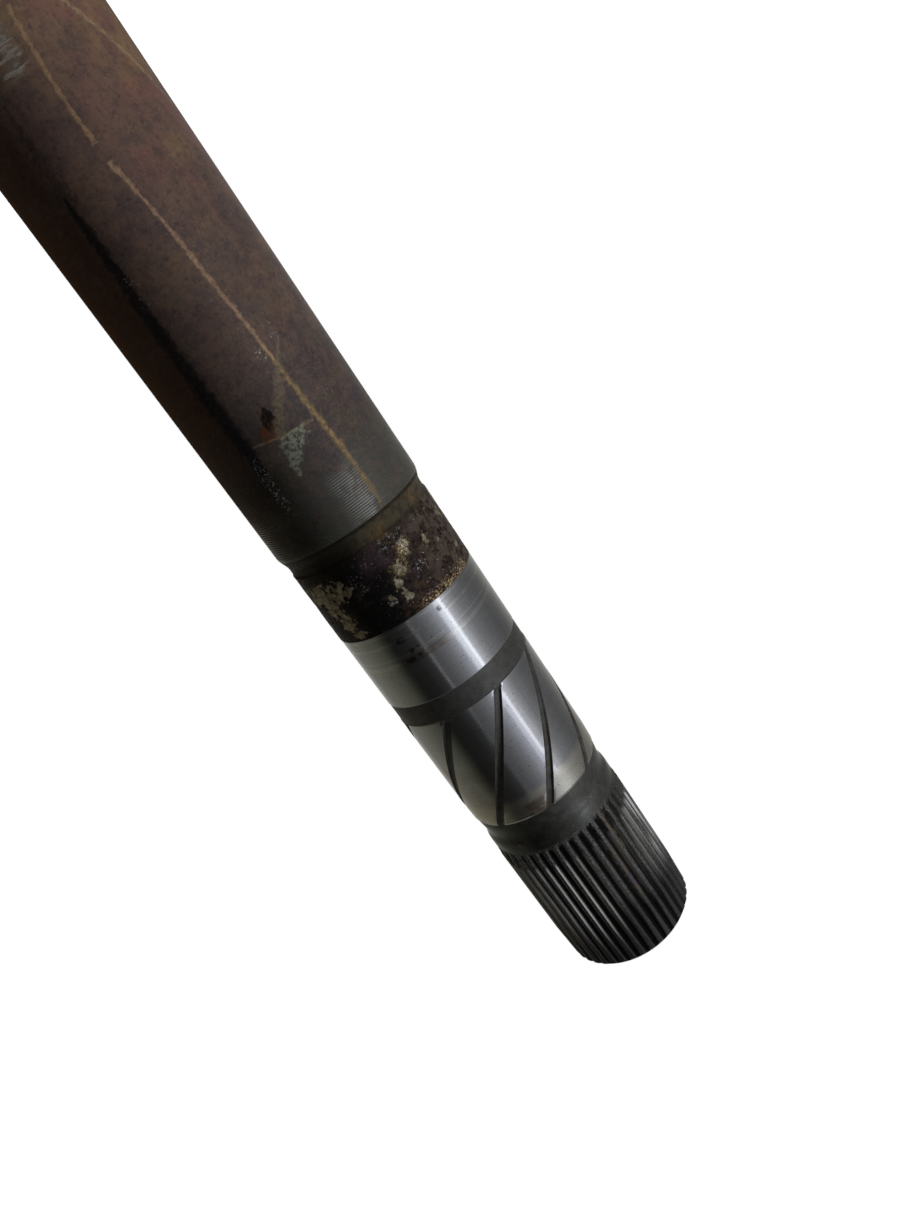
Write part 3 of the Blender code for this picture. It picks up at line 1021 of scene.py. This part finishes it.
# Hardened steel ground round and run in: bright, with fine lines round it.
ground = dict(
    steel="#b9babd",
    lineSize=0.3,
    # How much longer the lines are than wide.
    lineStretch=(40, 40, 1),
    # The lines' darkest and brightest share of the steel's colour, their roughness and height in millimetres.
    tone=(0.92, 1.06),
    roughness=(0.1, 0.17),
    lineHeight=0.004,
    scratchHeight=0.01,
    # How much rougher the worn rings and the tapered end are.
    ringRoughness=0.08,
    leadRoughness=0.14,
    ringColour="#d3d4d0",
    ringWear=tint(6, 32, (0.3, 0.6), 0.7),
    # The end of the journal that tapers to the neck, duller and paler.
    lead="#d2d0c6",
    leadEnd=83,
    stains=[
        tint(3, 2, (0.3, 0.5), 0.6, "#8c7666", down=(143.6, 145.9, 0.8), around=(-3, 13, 5)),
        tint(9, 4, (0.4, 0.6), 0.5, "#a39684", down=(74, 100, 8), around=(12, 34, 8)),
        tint(2.4, 6, (0.36, 0.48), 0.8, "#9c8874", down=(73, 79.6, 1.6), around=(0.8, 8.4, 2.4)),
        tint(0.7, 8, (0.64, 0.68), 0.8, "#4b4a48"),
        tint(1.4, 18, (0.42, 0.54), 0.8, "#2a2826", down=(143.9, 145.6, 0.8), around=(5.5, 13, 2.5)),
        tint(1.4, 19, (0.46, 0.56), 0.7, "#2a2826", down=(146.6, 148.4, 0.8), around=(5.5, 9.5, 1.5)),
        tint(1.4, 20, (0.44, 0.56), 0.7, "#24242a", down=(151.2, 153.4, 0.8), around=(8.4, 11.6, 1.5)),
        tint(1.2, 28, (0.42, 0.5), 0.8, "#3c3c3e", down=(153.2, 155, 0.8), around=(-7, -5.4, 0.8)),
        tint(12, 12, (0.5, 0.7), 0.3, "#a3a5a8"),
    ],
    scratchesAndHighlight=[
        # The first is a scratch painted white as a highlight line, where the door frame is mirrored too.
        mark(
            "#f0f0f0", 0.8, broken=0.5, ragged=0.3,
            points=[(129.8, 4.5, 0.14), (143, 4.4, 0.16), (155.8, 4.4, 0.18)],
        ),
        mark("#dcdcdc", 0.3, broken=0.5, points=[(131, -6.3, 0.12), (144, -6.5, 0.12), (155, -6.6, 0.12)]),
        mark("#dcdcda", 0.4, points=[(90, 8.6, 0.1), (104, 5.6, 0.12), (118, 3.4, 0.1)]),
        mark("#8e8e8e", 0.3, points=[(92, -13.6, 0.1), (110, -13.2, 0.12), (119, -13.5, 0.1)]),
    ],
)


def groundSteel():
    # A journal ground with a fine wheel: fine lines run round it, and it is duller in worn rings and stains.
    material, tree, shader = startFinish("ground bearing steel", 1.0, 0.2)
    place = shaftPlace(tree)
    around = addNode(tree, "VectorMath", {0: place["point"], 1: ground["lineStretch"]}, operation="DIVIDE")
    lines = {"Vector": around, "Scale": 1 / ground["lineSize"], "Detail": 3.0, "Roughness": 0.6}
    lines = addNode(tree, "TexNoise", lines)
    low, high = ground["tone"]
    tone = {"Value": lines, "From Min": 0.3, "From Max": 0.7, "To Min": low, "To Max": high}
    tone = addNode(tree, "MapRange", tone)
    dull = None
    for down, wide, _ in sealJournal["wornRings"]:
        ring = within(tree, 1.0, place["down"], (down - wide / 2, down + wide / 2, 0.5))
        dull = addNode(tree, "Math", {0: dull or 0.0, 1: ring}, operation="MAXIMUM")
    wear = patchAmount(tree, place, ground["ringWear"])
    dull = addNode(tree, "Math", {0: dull, 1: wear}, operation="MULTIPLY")
    layer = {"Factor": dull, "A": linear(ground["steel"]), "B": linear(ground["ringColour"])}
    colour = addNode(tree, "Mix", layer, data_type="RGBA")
    worn = addNode(tree, "TexNoise", {"Vector": place["point"], "Scale": 1 / 3.5, "Detail": 5.0})
    worn = addNode(tree, "Math", {0: worn, 1: 4.0, 2: place["down"]}, operation="MULTIPLY_ADD")
    lead = {"Value": worn, "From Min": ground["leadEnd"] + 3.6, "From Max": ground["leadEnd"] + 0.4}
    lead = addNode(tree, "MapRange", lead, interpolation_type="SMOOTHSTEP")
    layer = {"Factor": lead, "A": colour, "B": linear(ground["lead"])}
    colour = addNode(tree, "Mix", layer, data_type="RGBA")
    colour = tintPatches(tree, place, colour, ground["stains"])
    colour, scratchedAndHighlit = drawStrokes(tree, place, colour, ground["scratchesAndHighlight"])
    shade = addNode(tree, "CombineXYZ", {0: tone, 1: tone, 2: tone})
    layer = {"Factor": 1.0, "A": colour, "B": shade}
    colour = addNode(tree, "Mix", layer, data_type="RGBA", blend_type="MULTIPLY")
    tree.links.new(colour, shader.inputs["Base Color"])

    low, high = ground["roughness"]
    rough = {"Value": lines, "From Min": 0.3, "From Max": 0.7, "To Min": low, "To Max": high}
    rough = addNode(tree, "MapRange", rough)
    for amount, more in ((dull, ground["ringRoughness"]), (lead, ground["leadRoughness"])):
        rough = addNode(tree, "Math", {0: amount, 1: more, 2: rough}, operation="MULTIPLY_ADD")
    tree.links.new(rough, shader.inputs["Roughness"])
    normal = addNode(tree, "Bump", {"Height": lines, "Distance": ground["lineHeight"] * mm})
    cut = {"Height": scratchedAndHighlit, "Distance": ground["scratchHeight"] * mm, "Normal": normal}
    normal = addNode(tree, "Bump", cut, invert=True)
    tree.links.new(normal, shader.inputs["Normal"])
    return material


# Turned steel gone dark in quench oil.
oxide = dict(
    pale="#5e5e5c",
    dark="#51514f",
    cloudSize=3,
    roughness=0.46,
    # The neck by the teeth was turned finer than the band: how much smoother, and over which stretch.
    finer=0.18,
    finerAt=(58, 72, 8),
    # The lines that the turning tool left: how wide, how much longer than that, and how high.
    lineSize=0.4,
    lineStretch=(12, 12, 1),
    lineHeight=0.012,
    tints=[
        tint(2, 3, (0.5, 0.7), 0.25, "#353630"),
        tint(6, 13, (0.36, 0.56), 0.6, "#363b31", down=(58, 75, 3), around=(-4, 30, 12)),
        tint(3, 23, (0.44, 0.56), 0.5, "#46382a", down=(74.8, 98, 4)),
        tint(1, 27, (0.58, 0.62), 0.9, "#c2bd94", down=(60.5, 64, 2), around=(16.5, 21, 2)),
        tint(0.8, 29, (0.64, 0.7), 0.7, "#8d8d88"),
        tint(0.8, 31, (0.6, 0.7), 0.35, "#1a1a19"),
    ],
)


def darkOxide():
    # Turned and never ground. Matt grey-black, a little green, with browner places.
    material, tree, shader = startFinish("dark quench oxide", 0.65, oxide["roughness"])
    place = shaftPlace(tree)
    colour = tintPatches(tree, place, cloudedTone(tree, place, oxide), oxide["tints"])
    tree.links.new(colour, shader.inputs["Base Color"])
    around = addNode(tree, "VectorMath", {0: place["point"], 1: oxide["lineStretch"]}, operation="DIVIDE")
    turned = addNode(tree, "TexNoise", {"Vector": around, "Scale": 1 / oxide["lineSize"], "Detail": 3.0})
    normal = addNode(tree, "Bump", {"Height": turned, "Distance": oxide["lineHeight"] * mm})
    tree.links.new(normal, shader.inputs["Normal"])
    finer = within(tree, oxide["finer"], place["down"], oxide["finerAt"])
    rough = addNode(tree, "Math", {0: oxide["roughness"], 1: finer}, operation="SUBTRACT")
    tree.links.new(rough, shader.inputs["Roughness"])
    return material


# Hobbed teeth: black from the quench, their flanks rubbed bright by the gear that they drove.
# The spaces' black is partly painted shade, and the flanks' brightness is partly painted highlight.
splineFinish = dict(
    pale="#62625f",
    dark="#50504e",
    # The rubbed flanks, painted brighter as highlights where they catch the light.
    drive="#cfcfcb",
    coast="#cfcfca",
    # The black painted in the spaces as shade, over steel dark from the quench.
    space="#0b0b0a",
    cloudSize=1.5,
    grainSize=0.5,
    grainHeight=0.015,
    # Away from the rubbed flanks, and on them.
    roughness=(0.5, 0.36),
    # Millimetres from the middle of a space, where the painted black shade ends and where a rubbed flank
    # starts.
    paintedShadeEdge=dict(drive=(0.6, 0.95), coast=(0.3, 0.6)),
    flankEdge=dict(drive=(0.85, 1.2), coast=(0.35, 0.75)),
    # How far a face leans towards the flank's side before it counts as rubbed, as a sine.
    lean=dict(drive=(0.08, 0.4), coast=(0.3, 0.75)),
    # Millimetres from the end, where the spaces run out, and how fast the painted black shade narrows past
    # that.
    spaceEnd=57.4,
    narrowing=0.4,
    # Where a hub has run on each flank: from the end, and how softly that starts and stops.
    contact=dict(
        drive=((18, 80, 20), (-20, 51.8, 2.4)),
        coast=((22, 80, 16), (-20, 50.8, 2.4)),
    ),
    # Round the shaft from the front, in millimetres, where each flank is painted bright as a highlight.
    paintedHighlightAround=dict(drive=(3, 60, 8), coast=(-60, 30, 8)),
    uneven=tint(2.4, 61, (0.3, 0.6), 1, stretch=(1, 1, 14)),
    tints=[
        tint(2, 3, (0.5, 0.66), 0.35, "#3c3b3b"),
        tint(0.7, 5, (0.5, 0.6), 0.65, "#979693"),
        tint(0.7, 25, (0.5, 0.6), 0.6, "#343433"),
        tint(0.45, 35, (0.5, 0.58), 0.7, "#8c8b89"),
        tint(0.45, 47, (0.5, 0.58), 0.7, "#323231"),
        tint(8, 7, (0.1, 0.3), 0.75, "#3b3b3a", down=(-10, 24, 16)),
        tint(3, 15, (0.46, 0.56), 0.7, "#62506a", down=(23, 57, 8), around=(-11.4, -6, 2)),
        tint(6, 21, (0.4, 0.6), 0.5, "#6b5a48", down=(12, 52, 8), around=(22, 36, 4)),
    ],
    # Two teeth that have rusted, their flanks too, and spaces by the neck greyed as painted light on the lamp
    # side.
    rustAndPaintedLight=[
        tint(2.4, 9, (0.38, 0.58), 0.75, "#6e6450", down=(22, 48, 6), around=(-9.4, -6.2, 0.8)),
        tint(2.4, 19, (0.38, 0.58), 0.75, "#6e6450", down=(40, 58.5, 5), around=(-14.4, -11.4, 0.8)),
        tint(4, 29, (0.1, 0.3), 0.6, "#4c4b46", down=(50, 62, 2), around=(-40, -17.5, 3)),
    ],
)


def hobbedSteel():
    # Grey crests, spaces painted black as shade, flanks rubbed bright where a hub ran and painted highlights.
    material, tree, shader = startFinish("hobbed spline steel", 0.75, 0.42)
    place = shaftPlace(tree)
    colour = tintPatches(tree, place, cloudedTone(tree, place, splineFinish), splineFinish["tints"])

    # The spaces are painted black to their rounded ends, as the shade deep in them. Both ends of the shaft
    # are alike.
    pitch = fullTurn * shaft["journalRadius"] / teeth["count"]
    firstSpace = math.radians(teeth["turn"] + 90) * shaft["journalRadius"]
    aside = addNode(tree, "Math", {0: place["around"], 1: firstSpace}, operation="SUBTRACT")
    aside = addNode(tree, "Math", {0: aside, 1: pitch / 2, 2: -pitch / 2}, operation="WRAP")
    fromEnd = addNode(tree, "Math", {0: place["down"], 1: shaft["length"] / 2}, operation="PINGPONG")
    past = addNode(tree, "Math", {0: fromEnd, 1: splineFinish["spaceEnd"]}, operation="SUBTRACT")
    past = addNode(tree, "Math", {0: past, 1: 0.0}, operation="MAXIMUM")
    paintedSpaceShade = 1.0
    for side, finish in ((1.0, "drive"), (-1.0, "coast")):
        low, high = splineFinish["paintedShadeEdge"][finish]
        reach = {0: past, 1: splineFinish["narrowing"] * side, 2: aside}
        reach = addNode(tree, "Math", reach, operation="MULTIPLY_ADD")
        reach = addNode(tree, "MapRange", {"Value": reach, "From Min": high * side, "From Max": low * side})
        paintedSpaceShade = addNode(tree, "Math", {0: reach, 1: paintedSpaceShade}, operation="MULTIPLY")
    layer = {"Factor": paintedSpaceShade, "A": colour, "B": linear(splineFinish["space"])}
    colour = addNode(tree, "Mix", layer, data_type="RGBA")

    # A flank faces round the shaft, one way or the other, and a crest or a root doesn't.
    facing = addNode(tree, "VectorMath", {0: place["normal"], 1: place["onward"]}, operation="DOT_PRODUCT")
    uneven = patchAmount(tree, place, splineFinish["uneven"])
    rubbedAndHighlit = 0.0
    for side, finish in ((-1.0, "drive"), (1.0, "coast")):
        upright, leaning = splineFinish["lean"][finish]
        flank = {"Value": facing, "From Min": upright * side, "From Max": leaning * side}
        flank = addNode(tree, "MapRange", flank, interpolation_type="SMOOTHSTEP")
        low, high = splineFinish["flankEdge"][finish]
        clear = {"Value": aside, "From Min": -low * side, "From Max": -high * side}
        clear = addNode(tree, "MapRange", clear)
        flank = addNode(tree, "Math", {0: flank, 1: clear}, operation="MULTIPLY")
        flank = addNode(tree, "Math", {0: flank, 1: uneven}, operation="MULTIPLY")
        for stretch in splineFinish["contact"][finish]:
            flank = within(tree, flank, fromEnd, stretch)
        # The painted highlight: each flank stays bright only where it catches the light.
        flank = within(tree, flank, place["around"], splineFinish["paintedHighlightAround"][finish])
        layer = {"Factor": flank, "A": colour, "B": linear(splineFinish[finish])}
        colour = addNode(tree, "Mix", layer, data_type="RGBA")
        rubbedAndHighlit = addNode(tree, "Math", {0: flank, 1: rubbedAndHighlit}, operation="ADD")
    colour = tintPatches(tree, place, colour, splineFinish["rustAndPaintedLight"])
    tree.links.new(colour, shader.inputs["Base Color"])
    dull, bright = splineFinish["roughness"]
    rough = addNode(tree, "MapRange", {"Value": rubbedAndHighlit, "To Min": dull, "To Max": bright})
    tree.links.new(rough, shader.inputs["Roughness"])
    grain = {"Vector": place["point"], "Scale": 1 / splineFinish["grainSize"], "Detail": 2.0}
    grain = addNode(tree, "TexNoise", grain)
    normal = addNode(tree, "Bump", {"Height": grain, "Distance": splineFinish["grainHeight"] * mm})
    tree.links.new(normal, shader.inputs["Normal"])
    return material


# The end faces and centre holes.
faced = dict(dark="#77746f", pale="#8f8c86", cloudSize=6, feedPitch=0.5, feedHeight=0.01)


def facedSteel():
    # Faced and centre-drilled steel: round feed lines, dulled by handling.
    material, tree, shader = startFinish("faced steel", 1.0, 0.36)
    place = shaftPlace(tree)
    tree.links.new(cloudedTone(tree, place, faced), shader.inputs["Base Color"])
    turned = {0: place["radius"], 1: fullTurn / faced["feedPitch"]}
    turned = addNode(tree, "Math", turned, operation="MULTIPLY")
    turned = addNode(tree, "Math", {0: turned}, operation="SINE")
    normal = addNode(tree, "Bump", {"Height": turned, "Distance": faced["feedHeight"] * mm})
    tree.links.new(normal, shader.inputs["Normal"])
    return material


studio = dict(
    worldFill=0.02,
    # Lamps: turn from the camera, distance, height, size, power, the height that it aims at and its colour.
    lamps=[
        ("key softbox", -57, 1.5, 0.75, 0.5, 18, 0.4, "#ffffff"),
        ("back softbox", 180, 1.6, 1, 0.8, 22, 0.3, "#ffffff"),
        ("bench light", 98, 1.2, 0.25, 0.5, 0.26, 0.3, "#f0b888"),
    ],
    floorSize=12,
    floorGlow=0.95,
    floorColour="#727272",
    cardDistance=1.15,
    cardHeight=2.2,
    # The grey wall that the steel mirrors: how bright it is by the turn from the camera. It is open behind.
    wall=[
        (-164, 0.5, "#f4f4f4"),
        (-150, 0.4, "#f4f3ec"),
        (-140, 0.31, "#f4f3ea"),
        (-120, 0.19, "#f4f4f0"),
        (-100, 0.16, "#f4f4f2"),
        (-80, 0.21, "#f4f4f4"),
        (-60, 0.33, "#f4f4f6"),
        (-50, 0.52, "#f4f4f6"),
        (-44, 0.8, "#f4f5f8"),
        (-22, 0.62, "#eaeef8"),
        (-10, 0.32, "#eef0f6"),
        (0, 0.21, "#f2f2f4"),
        (10, 0.145, "#f2f2f4"),
        (20, 0.12, "#f2f2f2"),
        (24, 0.05, "#f2f2f2"),
        (40, 0.024, "#f2f2ec"),
        (60, 0.0165, "#f2f2e6"),
        (68, 0.04, "#f2f2d6"),
        (80, 0.105, "#f2f2d6"),
        (100, 0.17, "#f2f0da"),
        (120, 0.24, "#f2f0da"),
        (136, 0.27, "#f2eedc"),
        (150, 0.4, "#f4f2e6"),
        (164, 0.5, "#f4f4f0"),
    ],
    # Cards in front of it: start and end turn, bottom and top in metres, how bright, and its colour.
    cards=[
        ("window pane", -38.6, -33, 0.6, 0.98, 2.2, "#f4f8ff"),
        ("second pane", -33, -25, 0.6, 0.98, 1.3, "#f4f8ff"),
        ("top of the window pane", -37.6, -33, 0.98, 1.16, 1.95, "#f6f7ff"),
        ("top of the second pane", -33, -25.6, 0.98, 1.16, 1.1, "#f4f4ff"),
        ("door frame", 18.2, 19.6, 0.8, 0.97, 0.5, "#f2f4f8"),
        ("bench", 62, 164, 0, 0.6, 0.09, "#d8a878"),
    ],
    ceilingGlow=0.2,
    matGlow=0.04,
    cardGap=0.06,
)


def addCard(name, points, faces, glows):
    # A card that only reflections see, with a brightness and colour at each point.
    mesh = bpy.data.meshes.new(name)
    mesh.from_pydata(points, [], faces)
    shown = mesh.attributes.new("glow", "FLOAT_COLOR", "POINT")
    for spot, (strength, colour) in zip(shown.data, glows):
        spot.color = [channel * strength for channel in linear(colour)[:3]] + [1.0]
    card = bpy.data.objects.new(name.replace(" ", "_") + "_card", mesh)
    bpy.context.scene.collection.objects.link(card)
    material = bpy.data.materials.new(name + " card")
    material.use_nodes = True
    tree = material.node_tree
    tree.nodes.remove(tree.nodes["Principled BSDF"])
    light = addNode(tree, "Attribute", attribute_name="glow")
    glow = addNode(tree, "Emission", {"Color": light})
    tree.links.new(glow, tree.nodes["Material Output"].inputs["Surface"])
    mesh.materials.append(material)
    card.visible_camera = False
    card.visible_diffuse = False
    card.visible_shadow = False


def addUprightCard(name, columns, bottom, top, distance):
    points = []
    for height in (bottom, top):
        for turn, _, _ in columns:
            around = math.radians(turn)
            points.append((distance * math.sin(around), -distance * math.cos(around), height))
    count = len(columns)
    faces = [(i, i + 1, count + i + 1, count + i) for i in range(count - 1)]
    addCard(name, points, faces, [(strength, colour) for _, strength, colour in columns] * 2)


def addCards():
    # A grey wall, cards, a ceiling and a dark mat, as round a bright part in a photographer's tent.
    distance = studio["cardDistance"]
    height = studio["cardHeight"]
    addUprightCard("wall", studio["wall"], 0.002, height, distance)
    for name, start, end, bottom, top, strength, colour in studio["cards"]:
        columns = [(start + (end - start) * step / 4, strength, colour) for step in range(5)]
        addUprightCard(name, columns, bottom + 0.004, top - 0.004, distance - studio["cardGap"])
    turns = np.linspace(0, fullTurn, 32, endpoint=False)
    for name, level, glow in (("ceiling", height, studio["ceilingGlow"]), ("mat", 0.001, studio["matGlow"])):
        rim = [(distance * math.cos(turn), distance * math.sin(turn), level) for turn in turns]
        addCard(name, rim, [tuple(range(len(rim)))], [(glow, "#f2f2f2")] * len(rim))


def addLamp(name, turn, distance, height, size, power, aim, colour):
    lamp = bpy.data.lights.new(name, "AREA")
    lamp.shape = "DISK"
    lamp.size = size
    lamp.energy = power
    lamp.color = linear(colour)[:3]
    holder = bpy.data.objects.new(name, lamp)
    around = math.radians(turn)
    holder.location = (distance * math.sin(around), -distance * math.cos(around), height)
    holder.rotation_euler = (Vector((0, 0, aim)) - holder.location).to_track_quat("-Z", "Y").to_euler()
    holder.visible_glossy = False
    bpy.context.scene.collection.objects.link(holder)


def backgroundShare(tree):
    # 1 for what the camera, a reflection or clear glass sees, and 0 for the light that falls on the shaft.
    path = addNode(tree, "LightPath").node.outputs
    seen = addNode(tree, "Math", {0: path["Is Camera Ray"], 1: path["Is Glossy Ray"]}, operation="MAXIMUM")
    return addNode(tree, "Math", {0: seen, 1: path["Is Transmission Ray"]}, operation="MAXIMUM")


def addStudio():
    print("setting up the floor, lamps and cards")
    scene = bpy.context.scene
    scene.view_settings.view_transform = "Standard"
    world = bpy.data.worlds.new("studio")
    scene.world = world
    world.use_nodes = True
    tree = world.node_tree
    background = tree.nodes["Background"]
    background.inputs["Color"].default_value = (1, 1, 1, 1)
    strength = {"Value": backgroundShare(tree), "To Min": studio["worldFill"], "To Max": 1.0}
    tree.links.new(addNode(tree, "MapRange", strength), background.inputs["Strength"])

    mesh = bpy.data.meshes.new("floor")
    half = studio["floorSize"] / 2
    corners = [(-half, -half, 0), (half, -half, 0), (half, half, 0), (-half, half, 0)]
    mesh.from_pydata(corners, [], [(0, 1, 2, 3)])
    floor = bpy.data.objects.new("floor", mesh)
    scene.collection.objects.link(floor)
    material, tree, shader = startFinish("white paper", 0.0, 0.9)
    shader.inputs["Base Color"].default_value = linear(studio["floorColour"])
    shader.inputs["Emission Color"].default_value = (1, 1, 1, 1)
    glow = {0: backgroundShare(tree), 1: studio["floorGlow"]}
    tree.links.new(addNode(tree, "Math", glow, operation="MULTIPLY"), shader.inputs["Emission Strength"])
    mesh.materials.append(material)

    addCards()
    for lamp in studio["lamps"]:
        addLamp(*lamp)


# The camera's place in millimetres, the way it looks, how far it is turned on its side and its focal length.
view = dict(place=(0, -309.56, 347.731), look=(-0.0348, 0.9428, 0.3316), roll=145.443, lens=29.0961)


def addCamera():
    print("placing the camera")
    camera = bpy.data.cameras.new("photograph's view")
    camera.lens = view["lens"]
    camera.clip_start = 0.01
    holder = bpy.data.objects.new("camera", camera)
    holder.rotation_mode = "QUATERNION"
    holder.location = Vector(view["place"]) * mm
    ahead = Vector(view["look"]).to_track_quat("-Z", "Y")
    holder.rotation_quaternion = ahead @ Quaternion((0, 0, 1), math.radians(view["roll"]))
    bpy.context.scene.collection.objects.link(holder)
    bpy.context.scene.camera = holder


print("making the finishes")
finishes = dict(
    faced=facedSteel(),
    teeth=hobbedSteel(),
    oxide=darkOxide(),
    scale=millScale(),
    rough=roughSteel(),
    ground=groundSteel(),
)
skin = buildShaft(finishes)
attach(skin, "root")
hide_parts("axle_shaft")
addStudio()
addCamera()
